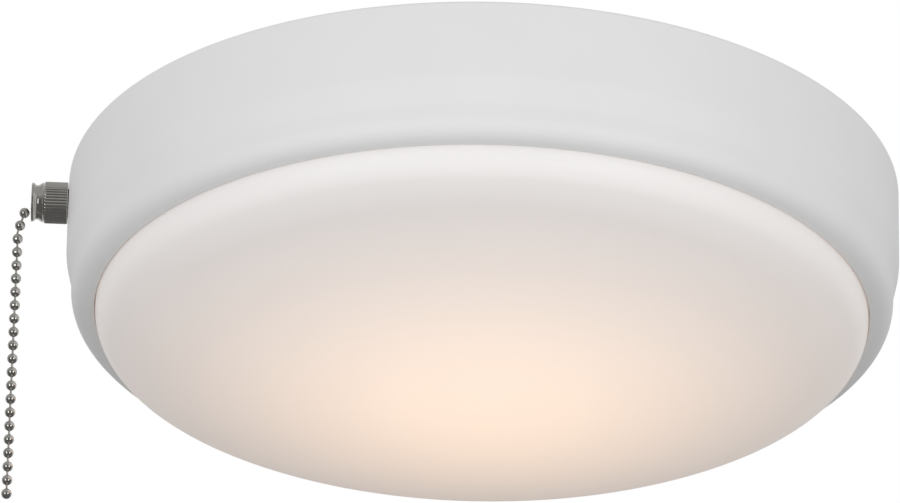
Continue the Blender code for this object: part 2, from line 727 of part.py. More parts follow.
def make_chain(nickel):
    start = INNER_CHAIN_END - (INNER_BEADS - 1) * BEAD_PITCH
    bead_string("chain_inner", INNER_BEADS, nickel, (-start, 0, SWITCH_Z), (-1, 0, 0), head=2.0)
    stops = [("chain_bead_b", BEAD_B), ("chain_bead_a", BEAD_A)]
    targets = [BEAD_A, LEAD_BEAD]
    for (name, spot), target in zip(stops, targets):
        place = on_chain(spot)
        bead_string(name, 1, nickel, place, on_chain(target) - place, FEED_NECK_GAP)
    lead = on_chain(LEAD_BEAD)
    bead_string("chain_lead", 2, nickel, lead, on_chain(LEAD_BEAD_2) - lead)
    height = HANG_TOP
    for name, count in HANG_COUNTS:
        tail_gap = 0.0 if name == HANG_COUNTS[-1][0] else GAP
        bead_string(name, count, nickel, (-CHAIN_X, 0, height), (0, 0, -1), tail_gap)
        height -= count * BEAD_PITCH


def make_wiring(look):
    top = TRAY_TOP + GAP + BLOCK_SIZE[2]
    x, y = BLOCK_CENTRE
    low = (x - BLOCK_SIZE[0] / 2, y - BLOCK_SIZE[1] / 2, TRAY_TOP + GAP)
    high = (x + BLOCK_SIZE[0] / 2, y + BLOCK_SIZE[1] / 2, top)
    body = block("terminal_block", low, high, look["nylon"])
    level = TRAY_TOP + GAP + 4.5
    mouth = column(1.5, -6, 2)
    sockets = []
    for end, turn in ((low[0], -90), (high[0], 90)):
        for side in (-SWITCH_LEAD_Y, SWITCH_LEAD_Y):
            sockets.append(turned("socket", mouth, None, 12, (end, side, level), (0, turn, 0)))
    combine(body, cutter_of("block_sockets", sockets), "DIFFERENCE")
    pad = TRAY_TOP - TRAY_SHEET - 2 * GAP - BOARD_THICKNESS - LEAD_RADIUS
    lead_in = [
        (-99.5, SWITCH_LEAD_Y, SWITCH_LEAD_Z),
        (-93.5, SWITCH_LEAD_Y, SWITCH_LEAD_Z),
        (-89.5, SWITCH_LEAD_Y, SWITCH_LEAD_Z - 1.5),
        (-87.0, SWITCH_LEAD_Y, level + 3.5),
        (-84.0, SWITCH_LEAD_Y, level + 0.3),
        (low[0] + 4, SWITCH_LEAD_Y, level),
    ]
    lead_out = [
        (-99.5, -SWITCH_LEAD_Y, SWITCH_LEAD_Z),
        (-93.0, -SWITCH_LEAD_Y, SWITCH_LEAD_Z),
        (-86.0, -9, -11.0),
        (-72.0, -19, -16.0),
        (-55.0, -27, -19.5),
        (-41.0, -31.0, -20.0),
        (WIRE_PASS[0] - 1.4, WIRE_PASS[1] + 1.4, -21.8),
        (WIRE_PASS[0] - 0.6, WIRE_PASS[1] + 1.8, -25.0),
        (-30.5, -28.0, pad),
        (-26.0, -23.5, pad),
    ]
    neutral = [
        (high[0] - 4, -SWITCH_LEAD_Y, level),
        (-55.0, -SWITCH_LEAD_Y, level),
        (-45.0, -6, -19.0),
        (-35.0, -8, -18.5),
        (-26.0, -13, -18.5),
        (-24.0, -25, -19.5),
        (-27.5, -33.0, -21.2),
        (WIRE_PASS[0] + 2.1, WIRE_PASS[1] - 1.7, -24.3),
        (-27.5, -33.0, pad),
        (-21.5, -29.0, pad),
    ]
    tube("switch_lead_in", smooth_route(lead_in, 2.6), LEAD_RADIUS, look["wire_black"])
    tube("switch_lead_out", smooth_route(lead_out, 4.0), LEAD_RADIUS, look["wire_black"])
    tube("neutral_lead", smooth_route(neutral, 4.0), LEAD_RADIUS, look["wire_white"])


def build():
    clear_scene()
    look = make_materials()
    make_pan(look["white_paint"])
    make_mounting(look["zinc_steel"], look["green_paint"], look["black_rubber"])
    make_light_engine(look)
    make_diffuser(look["opal_acrylic"])
    make_clips(look)
    make_switch_case(look)
    make_switch_front(look)
    make_switch_works(look)
    make_chain(look["nickel"])
    make_wiring(look)


build()
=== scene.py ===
"""Looks of the pull-chain ceiling light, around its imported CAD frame.

Lengths are in millimetres unless a name says otherwise, and MM turns them into metres. Every new
mesh is written in the frame's own coordinates: +Z up into the ceiling, the switch towards -X.
"""

import json
import math

import bmesh
import bpy
from mathutils import Matrix, Vector


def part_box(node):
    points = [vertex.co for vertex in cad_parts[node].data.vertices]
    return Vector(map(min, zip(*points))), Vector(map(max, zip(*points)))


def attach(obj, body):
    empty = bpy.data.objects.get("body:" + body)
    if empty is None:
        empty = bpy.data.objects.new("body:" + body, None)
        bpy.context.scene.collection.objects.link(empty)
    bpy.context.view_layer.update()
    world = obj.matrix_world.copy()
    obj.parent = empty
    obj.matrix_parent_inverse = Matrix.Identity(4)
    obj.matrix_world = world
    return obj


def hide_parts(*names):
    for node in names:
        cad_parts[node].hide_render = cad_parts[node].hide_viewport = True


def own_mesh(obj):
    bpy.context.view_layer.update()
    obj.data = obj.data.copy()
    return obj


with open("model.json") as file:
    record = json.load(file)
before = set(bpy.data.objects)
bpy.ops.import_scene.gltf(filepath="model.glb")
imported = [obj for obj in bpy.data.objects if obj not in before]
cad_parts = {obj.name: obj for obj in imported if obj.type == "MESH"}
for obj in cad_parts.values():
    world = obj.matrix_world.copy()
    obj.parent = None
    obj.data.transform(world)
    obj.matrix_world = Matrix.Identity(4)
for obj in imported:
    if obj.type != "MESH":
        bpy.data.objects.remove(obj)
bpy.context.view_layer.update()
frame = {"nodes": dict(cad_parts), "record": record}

MM = 0.001


def extent(node):
    """A CAD node's lowest and highest corner in millimetres."""
    low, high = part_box(node)
    return low / MM, high / MM


# Sizes that come from the frame
PAN_LOW, PAN_HIGH = extent("pan")
PAN_RADIUS = PAN_HIGH.x
LENS_HIGH = extent("diffuser")[1]
LENS_RADIUS = LENS_HIGH.x
NUT_LOW, NUT_HIGH = extent("knurled_nut")
MOUTH_LOW, MOUTH_HIGH = extent("bell_mouth")
SWITCH_Z = (NUT_LOW.z + NUT_HIGH.z) / 2

# Pan
SHEET = 1.0
PAN_TAPER = 2.0
PAN_TAPER_START = -25.0
PAN_FOOT_FILLET = 6.0
PAN_MOUTH_RADIUS = 117.9
PAN_HEM_TOP = -38.5
RECESS_RADIUS = 60.0
RECESS_DEPTH = 9.0
RECESS_SLOPE = 4.0
WIRE_HOLE_RADIUS = 11.0
PAN_SCREW_X = 50.0
POST_CIRCLE = 37.0
THREE_ANGLES = (90.0, 210.0, 330.0)
PAN_SCREW_HOLE = 2.6
POST_HOLE = 2.5
SIDE_HOLE_RADIUS = 5.2
PAN_STEPS = 288

# Diffuser
LENS_WALL = 2.2
SHOULDER_RADIUS = 10.0
SHOULDER_HEIGHT = -42.6
BLEND_RADIUS = 40.0
BLEND_START = -60.0  # degrees round the shoulder
CROWN_SLOPE = 14.76  # degrees where the blend meets the crown
LUG_DEPTH = 4.0
LUG_HALF_ANGLE = 4.0
LUG_BOTTOM = -36.2
LUG_ANGLES = (0.0, 120.0, 240.0)

# Switch front
KNURLS = 42
KNURL_DEPTH = 0.2
NUT_BORE = 5.06
NUT_SEAT = 0.15  # from the pan's side
LIP_RADIUS = 6.0
NECK_RADIUS = 5.2
THREAD_RADIUS = 4.7
THREAD_PITCH = 0.94  # 27 threads to the inch
THREAD_DEPTH = 0.5
BORE_RADIUS = 3.1
BUSHING_REAR = 120.0  # distances out from the lamp's axis
FLANGE_REAR = 122.8
FLANGE_FRONT = 123.8
FLANGE_RADIUS = 5.8
SPIGOT_RADIUS = 4.0
SPIGOT_FRONT = 136.0
FLARE_RADIUS = 3.5
SPRING_WIRE = 0.35
SPRING_TURNS = 5.0  # between one closed turn at each end

# Mounting hardware
GAP = 0.3
BOX_SCREW_X = 34.9
GROUND_SCREW_X = 18.0
STRAP_FILLET = 5.0
STRAP_CENTRE_HOLE = 6.5
GROMMET_BORE = 7.0
GROMMET_GROOVE = 10.7

# Bead chain: centres as (distance out, height above the switch's axis)
BEAD_RADIUS = 1.6
BEAD_PITCH = 4.5
ROD_RADIUS = 0.33
PINCH = 20.0  # degrees from a bead's axis to where its end draws in
ROD_GAP = 0.1  # from the next run's first bead
FEED_GAP = 0.7
INNER_START = 118.6
BEAD_B = (132.1, -0.3)
BEAD_A = (136.5, -1.3)
LEAD_BEAD = (140.25, -3.8)
LEAD_BEAD_2 = (141.45, -8.2)

# Camera
CAMERA_AIM = (-10.02, 0.0, -19.35)
CAMERA_DISTANCE = 2532.4
CAMERA_RISE = 26.378  # degrees that the view looks up
CAMERA_TURN = -2.0  # degrees about Z
CAMERA_ROLL = 1.042
CAMERA_LENS = 331.55
SENSOR_WIDTH = 36.0
FLOOR_Z = -1350.0
FLOOR_HALF = 200000.0


# ---------------------------------------------------------------- materials


def node_of(tree, kind, **values):
    """A shader node with its settings, and its inputs where the name is an input's."""
    made = tree.nodes.new(kind)
    for name, value in values.items():
        socket = name.replace("_", " ")
        if socket in made.inputs:
            made.inputs[socket].default_value = value
        else:
            setattr(made, name, value)
    return made


def grain(tree, size, detail=3.0, stretch=(1, 1, 1)):
    """A noise whose features are about size millimetres across, fixed to the object."""
    place = node_of(tree, "ShaderNodeTexCoord")
    scale = node_of(tree, "ShaderNodeMapping")
    scale.inputs["Scale"].default_value = [value / (MM * size) for value in stretch]
    noise = node_of(tree, "ShaderNodeTexNoise", Scale=1.0, Detail=detail, Roughness=0.55)
    tree.links.new(place.outputs["Object"], scale.inputs["Vector"])
    tree.links.new(scale.outputs["Vector"], noise.inputs["Vector"])
    return noise.outputs["Fac"]


def spread(tree, factor, low, high):
    """A factor that mostly lies in 0.3 to 0.7, spread over low to high."""
    ranged = node_of(tree, "ShaderNodeMapRange")
    ranged.inputs["From Min"].default_value = 0.3
    ranged.inputs["From Max"].default_value = 0.7
    ranged.inputs["To Min"].default_value = low
    ranged.inputs["To Max"].default_value = high
    tree.links.new(factor, ranged.inputs["Value"])
    return ranged.outputs["Result"]


def blend_colours(tree, factor, first, second):
    mix = node_of(tree, "ShaderNodeMix", data_type="RGBA")
    mix.inputs[6].default_value = (*first, 1.0)
    mix.inputs[7].default_value = (*second, 1.0)
    tree.links.new(factor, mix.inputs[0])
    return mix.outputs[2]


def surface(
    name,
    colour,
    roughness,
    metallic=0.0,
    mottle=(6.0, 0.04),
    wear=(2.5, 0.05),
    relief=(0.6, 0.01),
    stretch=(1, 1, 1),
    **sockets,
):
    """A Principled material with mottled colour, uneven roughness and fine relief.

    mottle, wear and relief each hold a feature size in millimetres and a strength: a share of
    the colour, a change of roughness, and a height in millimetres.
    """
    material = bpy.data.materials.new(name)
    material.use_nodes = True
    tree = material.node_tree
    shader = tree.nodes["Principled BSDF"]
    shader.inputs["Metallic"].default_value = metallic
    for socket, value in sockets.items():
        shader.inputs[socket.replace("_", " ")].default_value = value
    size, share = mottle
    darker = [value * (1 - share) for value in colour]
    lighter = [min(1.0, value * (1 + share)) for value in colour]
    tone = spread(tree, grain(tree, size), 0.0, 1.0)
    tree.links.new(blend_colours(tree, tone, darker, lighter), shader.inputs["Base Color"])
    size, change = wear
    uneven = spread(tree, grain(tree, size, 4.0, stretch), roughness - change, roughness + change)
    tree.links.new(uneven, shader.inputs["Roughness"])
    size, height = relief
    bump = node_of(tree, "ShaderNodeBump", Strength=1.0, Distance=MM * height)
    tree.links.new(grain(tree, size, 2.0, stretch), bump.inputs["Height"])
    tree.links.new(bump.outputs["Normal"], shader.inputs["Normal"])
    return material


def glow_spot(tree, centre, width, strength):
    """A soft round spot over the diffuser: strength times a bell curve of the given width."""
    place = node_of(tree, "ShaderNodeTexCoord")
    shift = node_of(tree, "ShaderNodeVectorMath", operation="SUBTRACT")
    shift.inputs[1].default_value = [MM * value for value in (*centre, 0.0)]
    flatten = node_of(tree, "ShaderNodeVectorMath", operation="MULTIPLY")
    flatten.inputs[1].default_value = (1 / (MM * width[0]), 1 / (MM * width[1]), 0.0)
    square = node_of(tree, "ShaderNodeVectorMath", operation="DOT_PRODUCT")
    negative = node_of(tree, "ShaderNodeMath", operation="MULTIPLY")
    negative.inputs[1].default_value = -0.5
    bell = node_of(tree, "ShaderNodeMath", operation="EXPONENT")
    scaled = node_of(tree, "ShaderNodeMath", operation="MULTIPLY")
    scaled.inputs[1].default_value = strength
    tree.links.new(place.outputs["Object"], shift.inputs[0])
    tree.links.new(shift.outputs["Vector"], flatten.inputs[0])
    tree.links.new(flatten.outputs["Vector"], square.inputs[0])
    tree.links.new(flatten.outputs["Vector"], square.inputs[1])
    tree.links.new(square.outputs["Value"], negative.inputs[0])
    tree.links.new(negative.outputs["Value"], bell.inputs[0])
    tree.links.new(bell.outputs["Value"], scaled.inputs[0])
    return scaled.outputs["Value"]


LAMP_GLOW_AND_PAINTED_LIGHT = (
    # centre, width, red, green, blue
    ((3.0, 10.0), (67.0, 66.0), (0.52, 0.305, 0.14)),
    # painted light: a wide cool glow towards the camera side that stands in for front light falling
    # on the near shoulder, not light from the board
    ((0.0, -10.0), (110.0, 85.0), (0.10, 0.11, 0.13)),
)


def opal_acrylic():
    """Milky acrylic, lit from inside: the glow fades from the board's middle to the rim, and a wider
    cool spot towards the camera side is painted light on the near shoulder.
    """
    material = surface(
        "opal_acrylic",
        (0.79, 0.80, 0.81),
        0.34,
        mottle=(40.0, 0.006),
        wear=(8.0, 0.03),
        relief=(1.2, 0.002),
        Subsurface_Weight=0.15,
        Subsurface_Radius=(1.0, 0.92, 0.84),
        Subsurface_Scale=0.004,
        IOR=1.49,
        Specular_IOR_Level=0.25,
        Emission_Strength=1.0,
    )
    tree = material.node_tree
    channels = node_of(tree, "ShaderNodeCombineColor")
    for channel in range(3):
        total = None
        for centre, width, strengths in LAMP_GLOW_AND_PAINTED_LIGHT:
            spot = glow_spot(tree, centre, width, strengths[channel])
            if total is None:
                total = spot
                continue
            add = node_of(tree, "ShaderNodeMath", operation="ADD")
            tree.links.new(total, add.inputs[0])
            tree.links.new(spot, add.inputs[1])
            total = add.outputs["Value"]
        tree.links.new(total, channels.inputs[channel])
    shader = tree.nodes["Principled BSDF"]
    tree.links.new(channels.outputs["Color"], shader.inputs["Emission Color"])
    return material


def make_materials():
    """The look of each of the record's material slots."""
    along_x = (0.15, 1, 1)
    return {
        "pan": surface("white_powder_coat", (0.80, 0.80, 0.80), 0.50, mottle=(30, 0.008),
                       wear=(5, 0.04), relief=(0.7, 0.006), Specular_IOR_Level=0.2),
        "led_tray": surface("white_reflector", (0.86, 0.86, 0.85), 0.30, mottle=(25, 0.01),
                            relief=(0.9, 0.002), Coat_Weight=0.2),
        "diffuser": opal_acrylic(),
        "zinc": surface("zinc_plate", (0.60, 0.61, 0.62), 0.34, 1.0, mottle=(3, 0.12),
                        wear=(1.2, 0.10), relief=(0.3, 0.006), stretch=along_x),
        "green_zinc": surface("green_screw", (0.05, 0.36, 0.13), 0.32, 0.6, mottle=(1.5, 0.2),
                              wear=(0.8, 0.1)),
        "nickel": surface("nickel_plate", (0.70, 0.68, 0.64), 0.09, 1.0, mottle=(2, 0.06),
                          wear=(0.8, 0.03), relief=(0.35, 0.0012)),
        "spring_steel": surface("spring_steel", (0.42, 0.43, 0.45), 0.28, 1.0, mottle=(2, 0.15),
                                wear=(0.7, 0.08), relief=(0.25, 0.004)),
        "brass": surface("brass", (0.80, 0.58, 0.25), 0.25, 1.0, mottle=(2, 0.12),
                         wear=(1, 0.1), relief=(0.3, 0.004)),
        "black_rubber": surface("black_rubber", (0.030, 0.030, 0.031), 0.72, mottle=(2, 0.25),
                                wear=(1, 0.08), relief=(0.25, 0.012)),
        "phenolic": surface("phenolic", (0.055, 0.042, 0.036), 0.42, mottle=(1.5, 0.35),
                            wear=(2, 0.08), relief=(0.4, 0.01)),
        "nylon": surface("nylon", (0.80, 0.78, 0.71), 0.42, mottle=(4, 0.03),
                         relief=(0.5, 0.008), Subsurface_Weight=0.15,
                         Subsurface_Scale=0.001),
        "board_white": surface("circuit_board", (0.86, 0.86, 0.84), 0.32, mottle=(1.5, 0.03),
                               wear=(4, 0.04), relief=(0.5, 0.003)),
        "phosphor": surface("phosphor", (0.92, 0.70, 0.16), 0.30, mottle=(0.4, 0.12),
                            relief=(0.2, 0.004), Emission_Color=(1.0, 0.78, 0.42, 1.0),
                            Emission_Strength=1.5),
        "chip_black": surface("chip_epoxy", (0.022, 0.022, 0.024), 0.38, mottle=(0.6, 0.3),
                              relief=(0.15, 0.006)),
        "varistor_blue": surface("varistor_epoxy", (0.04, 0.13, 0.46), 0.25, mottle=(1, 0.15),
                                 relief=(0.6, 0.01), Coat_Weight=0.4),
        "wire_black": surface("black_insulation", (0.022, 0.022, 0.024), 0.36, mottle=(2, 0.2),
                              wear=(3, 0.06), relief=(0.4, 0.006)),
        "wire_white": surface("white_insulation", (0.80, 0.80, 0.77), 0.38, mottle=(3, 0.04),
                              wear=(3, 0.06), relief=(0.4, 0.006)),
    }


LOOK = make_materials()
NODE_SLOT = {part["node"]: part["material_slot"] for part in frame["record"]["subparts"]}
NODE_BODY = {
    node: body for body, nodes in frame["record"]["behaviour"]["bodies"].items() for node in nodes
}


# ---------------------------------------------------------------- mesh tools


def corner_shape(corners, index):
    """The sides that meet at a corner, half its angle, and how far a fillet would reach."""
    here = Vector(corners[index][:2])
    before = Vector(corners[index - 1][:2]) - here
    after = Vector(corners[(index + 1) % len(corners)][:2]) - here
    half = before.angle(after) / 2
    return before, after, half, corners[index][2] / math.tan(half)


def rounded(corners, least=3):
    """A closed outline whose corners (radius, height, fillet) are rounded by arcs."""
    reaches = [corner_shape(corners, index)[3] for index in range(len(corners))]
    outline = []
    for index, (x, y, fillet) in enumerate(corners):
        before, after, half, reach = corner_shape(corners, index)
        if fillet < 1e-6 or half > math.radians(89.7):
            outline.append((x, y))
            continue
        others = reaches[index - 1], reaches[(index + 1) % len(corners)]
        for side, other in zip((before, after), others):
            reach = min(reach, 0.98 * side.length * reach / (reach + other))
        inward = (before.normalized() + after.normalized()).normalized()
        centre = Vector((x, y)) + inward * reach / math.cos(half)
        first = Vector((x, y)) + before.normalized() * reach - centre
        last = Vector((x, y)) + after.normalized() * reach - centre
        sweep = first.angle(last)
        steps = least + round(math.degrees(sweep) * fillet**0.5 / 20)
        for step in range(steps + 1):
            share = step / steps
            spot = first * math.sin((1 - share) * sweep) + last * math.sin(share * sweep)
            outline.append(tuple(centre + spot / math.sin(sweep)))
    return outline


def arc(centre, radius, start, end, steps):
    """Points on an arc; angles in degrees, 0 outwards and 90 up."""
    angles = [math.radians(start + (end - start) * step / steps) for step in range(steps + 1)]
    return [(centre[0] + radius * math.cos(a), centre[1] + radius * math.sin(a)) for a in angles]


def bridge_rings(shape, rings, closed=True):
    """Faces between neighbouring rings; a ring of one vertex is a pole."""
    pairs = list(zip(rings, rings[1:]))
    if closed:
        pairs.append((rings[-1], rings[0]))
    for ring, after in pairs:
        count = max(len(ring), len(after))
        if count == 1:
            continue
        for step in range(count):
            corners = []
            for loop, offset in ((ring, 0), (ring, 1), (after, 1), (after, 0)):
                vertex = loop[(step + offset) % len(loop)]
                if vertex not in corners:
                    corners.append(vertex)
            shape.faces.new(corners)


def turn_outline(shape, outline, steps, radius_at=None):
    """Adds a turned closed outline to shape; radius_at(radius, angle, height) may vary it."""
    rings = []
    for radius, height in outline:
        if radius < 1e-6:
            rings.append([shape.verts.new((0.0, 0.0, MM * height))])
            continue
        ring = []
        for step in range(steps):
            angle = 2 * math.pi * step / steps
            reach = radius_at(radius, angle, height) if radius_at else radius
            spot = (reach * math.cos(angle), reach * math.sin(angle), height)
            ring.append(shape.verts.new(MM * Vector(spot)))
        rings.append(ring)
    bridge_rings(shape, rings)


def mesh_of(shape, name, smooth_angle=30.0):
    bmesh.ops.recalc_face_normals(shape, faces=shape.faces[:])
    mesh = bpy.data.meshes.new(name)
    shape.to_mesh(mesh)
    shape.free()
    mesh.shade_smooth()
    mesh.set_sharp_from_angle(angle=math.radians(smooth_angle))
    return mesh


def add_object(name, mesh):
    made = bpy.data.objects.new(name, mesh)
    bpy.context.scene.collection.objects.link(made)
    return made


def apply_modifiers(obj):
    """Swaps the object's mesh for its evaluated one."""
    graph = bpy.context.evaluated_depsgraph_get()
    mesh = bpy.data.meshes.new_from_object(obj.evaluated_get(graph))
    obj.modifiers.clear()
    obj.data = mesh


def carve(obj, cutters, operation="DIFFERENCE", smooth_angle=30.0):
    """Applies a Boolean for each cutter, removes the cutters and shades the result."""
    for cutter in cutters:
        step = obj.modifiers.new(cutter.name, "BOOLEAN")
        step.operation = operation
        step.solver = "EXACT"
        step.object = cutter
    apply_modifiers(obj)
    for cutter in cutters:
        bpy.data.objects.remove(cutter, do_unlink=True)
    obj.data.shade_smooth()
    obj.data.set_sharp_from_angle(angle=math.radians(smooth_angle))


def along(spot, direction):
    """The transform that puts a piece turned about +Z at spot, in mm, along direction."""
    turn = Vector((0, 0, 1)).rotation_difference(Vector(direction).normalized())
    return Matrix.Translation(MM * Vector(spot)) @ turn.to_matrix().to_4x4()


SWITCH_AXIS = along((0, 0, SWITCH_Z), (-1, 0, 0))
IDENTITY = Matrix.Identity(4)


def stand_for(node, name, mesh, transform=IDENTITY):
    """Puts a finished mesh in the place of a CAD node: its body, its slot and its look."""
    mesh.transform(transform)
    piece = add_object(name, mesh)
    slot = NODE_SLOT[node]
    piece.data.materials.clear()
    piece.data.materials.append(LOOK[slot])
    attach(piece, NODE_BODY[node])
    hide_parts(node)
    return piece


def turned_piece(node, corners, steps, transform=IDENTITY, radius_at=None, smooth_angle=30.0):
    """A turned piece with rounded corners that stands for a CAD node."""
    shape = bmesh.new()
    turn_outline(shape, rounded(corners), steps, radius_at)
    return stand_for(node, f"{node}_visual", mesh_of(shape, node, smooth_angle), transform)


def rod_cutter(radius, low, high, transform, steps=48):
    shape = bmesh.new()
    turn_outline(shape, [(0, low), (radius, low), (radius, high), (0, high)], steps)
    mesh = mesh_of(shape, "cutter")
    mesh.transform(transform)
    return add_object("cutter", mesh)


def slab_cutter(size, transform):
    shape = bmesh.new()
    bmesh.ops.create_cube(shape, size=1.0)
    for vertex in shape.verts:
        vertex.co = [MM * length * value for length, value in zip(size, vertex.co)]
    mesh = mesh_of(shape, "cutter")
    mesh.transform(transform)
    return add_object("cutter", mesh)


def prism(name, outline, low, high):
    """A straight closed solid between two heights."""
    shape = bmesh.new()
    for height in (low, high):
        shape.faces.new([shape.verts.new(MM * Vector((x, y, height))) for x, y in outline])
    bmesh.ops.bridge_loops(shape, edges=shape.edges[:])
    return mesh_of(shape, name)


def at(x, y, z=0.0):
    return Matrix.Translation(MM * Vector((x, y, z)))


def around(radius, angle):
    return radius * math.cos(math.radians(angle)), radius * math.sin(math.radians(angle))


def tube_mesh(name, route, radius, sides=12):
    """A round tube with closed ends along points in millimetres."""
    shape = bmesh.new()
    spots = [MM * Vector(point) for point in route]
    headings = [(b - a).normalized() for a, b in zip(spots, spots[1:])]
    headings.append(headings[-1])
    side = headings[0].orthogonal().normalized()
    rings = [[shape.verts.new(spots[0])]]
    for index, (spot, heading) in enumerate(zip(spots, headings)):
        before = headings[max(0, index - 1)]
        side = before.rotation_difference(heading) @ side
        mid = (before + heading).normalized()
        across = (side - mid * side.dot(mid)).normalized()
        up = mid.cross(across)
        ring = []
        for step in range(sides):
            angle = 2 * math.pi * step / sides
            offset = across * math.cos(angle) + up * math.sin(angle)
            ring.append(shape.verts.new(spot + MM * radius * offset))
        rings.append(ring)
    rings.append([shape.verts.new(spots[-1])])
    bridge_rings(shape, rings, closed=False)
    return mesh_of(shape, name, 50.0)


def threaded(radius, depth, pitch, start, end):
    """Radius of a screw thread between two heights, for turn_outline."""

    def radius_at(reach, angle, height):
        if abs(reach - radius) > 1e-6 or not start < height < end:
            return reach
        phase = (height / pitch - angle / (2 * math.pi)) % 1.0
        fade = min(1.0, (height - start) / pitch, (end - height) / pitch)
        return reach - depth * fade * (1 - abs(2 * phase - 1))

    return radius_at


# ---------------------------------------------------------------- pan and diffuser


def make_pan():
    foot = -PAN_LOW.z
    narrow = PAN_RADIUS - PAN_TAPER
    corners = [
        (WIRE_HOLE_RADIUS, -RECESS_DEPTH, 0.3),
        (RECESS_RADIUS, -RECESS_DEPTH, 1.6),
        (RECESS_RADIUS + RECESS_SLOPE, 0.0, 1.6),
        (PAN_RADIUS, 0.0, 1.2),
        (PAN_RADIUS, PAN_TAPER_START, 12.0),
        (narrow + 0.15, -foot + PAN_FOOT_FILLET + 4.0, 12.0),
        (narrow, -foot, PAN_FOOT_FILLET),
        (PAN_MOUTH_RADIUS, -foot, 0.5),
        (PAN_MOUTH_RADIUS, PAN_HEM_TOP, 0.4),
        (PAN_MOUTH_RADIUS + SHEET, PAN_HEM_TOP, 0.4),
        (PAN_MOUTH_RADIUS + SHEET, -foot + SHEET, 0.3),
        (narrow - SHEET, -foot + SHEET, PAN_FOOT_FILLET - SHEET),
        (PAN_RADIUS - SHEET, PAN_TAPER_START, 12.0),
        (PAN_RADIUS - SHEET, -SHEET, 0.4),
        (RECESS_RADIUS + RECESS_SLOPE + 0.6, -SHEET, 1.0),
        (RECESS_RADIUS + 0.6, -RECESS_DEPTH - SHEET, 1.0),
        (WIRE_HOLE_RADIUS, -RECESS_DEPTH - SHEET, 0.3),
    ]
    shape = bmesh.new()
    turn_outline(shape, rounded(corners, 4), PAN_STEPS)
    pan = stand_for("pan", "pan_visual", mesh_of(shape, "pan"))
    floor = (-RECESS_DEPTH - 4, -RECESS_DEPTH + 4)
    cutters = [rod_cutter(PAN_SCREW_HOLE, *floor, at(side * PAN_SCREW_X, 0)) for side in (-1, 1)]
    cutters += [rod_cutter(POST_HOLE, *floor, at(*around(POST_CIRCLE, a))) for a in THREE_ANGLES]
    side_hole = (PAN_RADIUS - 7, PAN_RADIUS + 5)
    cutters.append(rod_cutter(SIDE_HOLE_RADIUS, *side_hole, SWITCH_AXIS))
    carve(pan, cutters)
    return pan


def make_diffuser():
    """The dome: a tight shoulder, a wide blend and a shallow crown, with three lugs inside."""
    centre = (LENS_RADIUS - SHOULDER_RADIUS, SHOULDER_HEIGHT)
    slope, start = math.radians(CROWN_SLOPE), math.radians(BLEND_START)
    shift = SHOULDER_RADIUS - BLEND_RADIUS
    blend = (centre[0] + shift * math.cos(start), centre[1] + shift * math.sin(start))
    turn_end = CROWN_SLOPE - 90
    edge = blend[0] + BLEND_RADIUS * math.sin(slope)
    crown = edge / math.sin(slope)
    rise = blend[1] + (crown - BLEND_RADIUS) * math.cos(slope)
    rim = rounded(
        [
            (LENS_RADIUS - LENS_WALL, SHOULDER_HEIGHT, 0),
            (LENS_RADIUS - LENS_WALL, LENS_HIGH.z, 0.7),
            (LENS_RADIUS, LENS_HIGH.z, 0.7),
            (LENS_RADIUS, SHOULDER_HEIGHT, 0),
        ]
    )[1:-1]
    outline = rim
    outline += arc(centre, SHOULDER_RADIUS, 0, BLEND_START, 18)
    outline += arc(blend, BLEND_RADIUS, BLEND_START, turn_end, 12)[1:]
    outline += arc((0, rise), crown, turn_end, -90, 26)[1:]
    outline += arc((0, rise), crown - LENS_WALL, -90, turn_end, 20)
    outline += arc(blend, BLEND_RADIUS - LENS_WALL, turn_end, BLEND_START, 8)[1:]
    outline += arc(centre, SHOULDER_RADIUS - LENS_WALL, BLEND_START, 0, 12)[1:]
    shape = bmesh.new()
    turn_outline(shape, outline, PAN_STEPS)
    lens = stand_for("diffuser", "diffuser_visual", mesh_of(shape, "diffuser"))
    lugs = []
    middle = LENS_RADIUS - 0.5 * LENS_WALL
    tip = LENS_RADIUS - LENS_WALL - LUG_DEPTH
    for angle in LUG_ANGLES:
        first, last = angle - LUG_HALF_ANGLE, angle + LUG_HALF_ANGLE
        edge = arc((0, 0), middle, first, last, 8) + arc((0, 0), tip, last, first, 8)
        lugs.append(add_object("lug", prism("lug", edge, LUG_BOTTOM, LENS_HIGH.z - 0.4)))
    carve(lens, lugs, "UNION")
    return lens


# ---------------------------------------------------------------- switch and chain


def make_knurled_nut():
    """A nut with straight rounded knurls; the chamfers cut them to a scalloped edge."""
    rear, front = PAN_RADIUS + NUT_SEAT, -NUT_LOW.x
    radius = (NUT_HIGH.z - NUT_LOW.z) / 2
    outline = [
        (NUT_BORE, rear, 0.1),
        (radius - 0.2, rear, 0.1),
        (radius, rear + 0.2, 0.1),
        (radius, front - 0.6, 0.1),
        (radius - 0.4, front, 0.15),
        (NUT_BORE, front, 0.1),
    ]
    floor = radius - KNURL_DEPTH

    def knurl(reach, angle, height):
        if reach <= floor:
            return reach
        wave = 0.5 - 0.5 * math.cos(KNURLS * angle)
        return min(reach, floor + KNURL_DEPTH * wave**0.6)

    shape = bmesh.new()
    turn_outline(shape, densify(rounded(outline), 0.35), KNURLS * 10, knurl)
    return stand_for("knurled_nut", "knurled_nut_visual", mesh_of(shape, "nut", 40), SWITCH_AXIS)


def densify(outline, spacing):
    """The same closed outline with points no further apart than spacing."""
    dense = []
    for here, after in zip(outline, outline[1:] + outline[:1]):
        first, last = Vector(here), Vector(after)
        steps = max(1, math.ceil((last - first).length / spacing))
        dense += [tuple(first.lerp(last, step / steps)) for step in range(steps)]
    return dense


